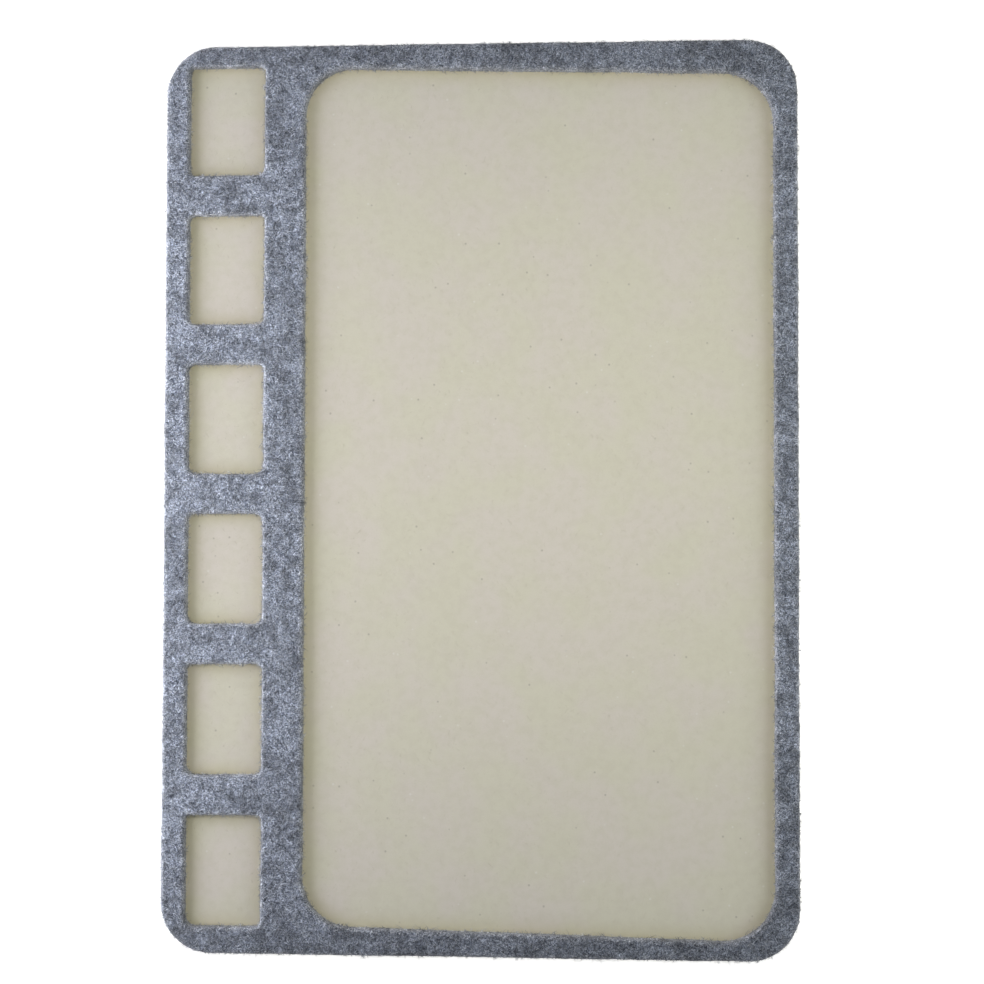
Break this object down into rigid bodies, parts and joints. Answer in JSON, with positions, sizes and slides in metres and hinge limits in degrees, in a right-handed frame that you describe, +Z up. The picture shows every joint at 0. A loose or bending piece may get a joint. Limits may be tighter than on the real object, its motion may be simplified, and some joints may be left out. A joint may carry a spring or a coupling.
{
  "type": "bead mat",
  "caption": "Soft cream bead mat with a die-cut grey felt frame: a large round-cornered work window beside a column of small bead compartments.",
  "frame": {"origin": "under the middle of the mat, on the surface that it lies on", "axes": "+X across the mat, away from the column of compartments; +Y along its length; +Z up, out of the felt's face"},
  "size_m": [0.201, 0.289, 0.0066],
  "materials": {
    "grey_felt": "heather-grey needle felt, light lavender and dark slate fibres, fuzzy cut edges",
    "bond_web": "translucent hot-melt adhesive web",
    "cream_plush": "cream short-pile plush, very fine nap",
    "foam": "cut open-cell polyurethane foam"
  },
  "bodies": {
    "root": {"felt_frame": "grey_felt", "frame_bond": "bond_web", "plush_face": "cream_plush", "foam_core": "foam", "plush_back": "cream_plush"}
  },
  "joints": []
}
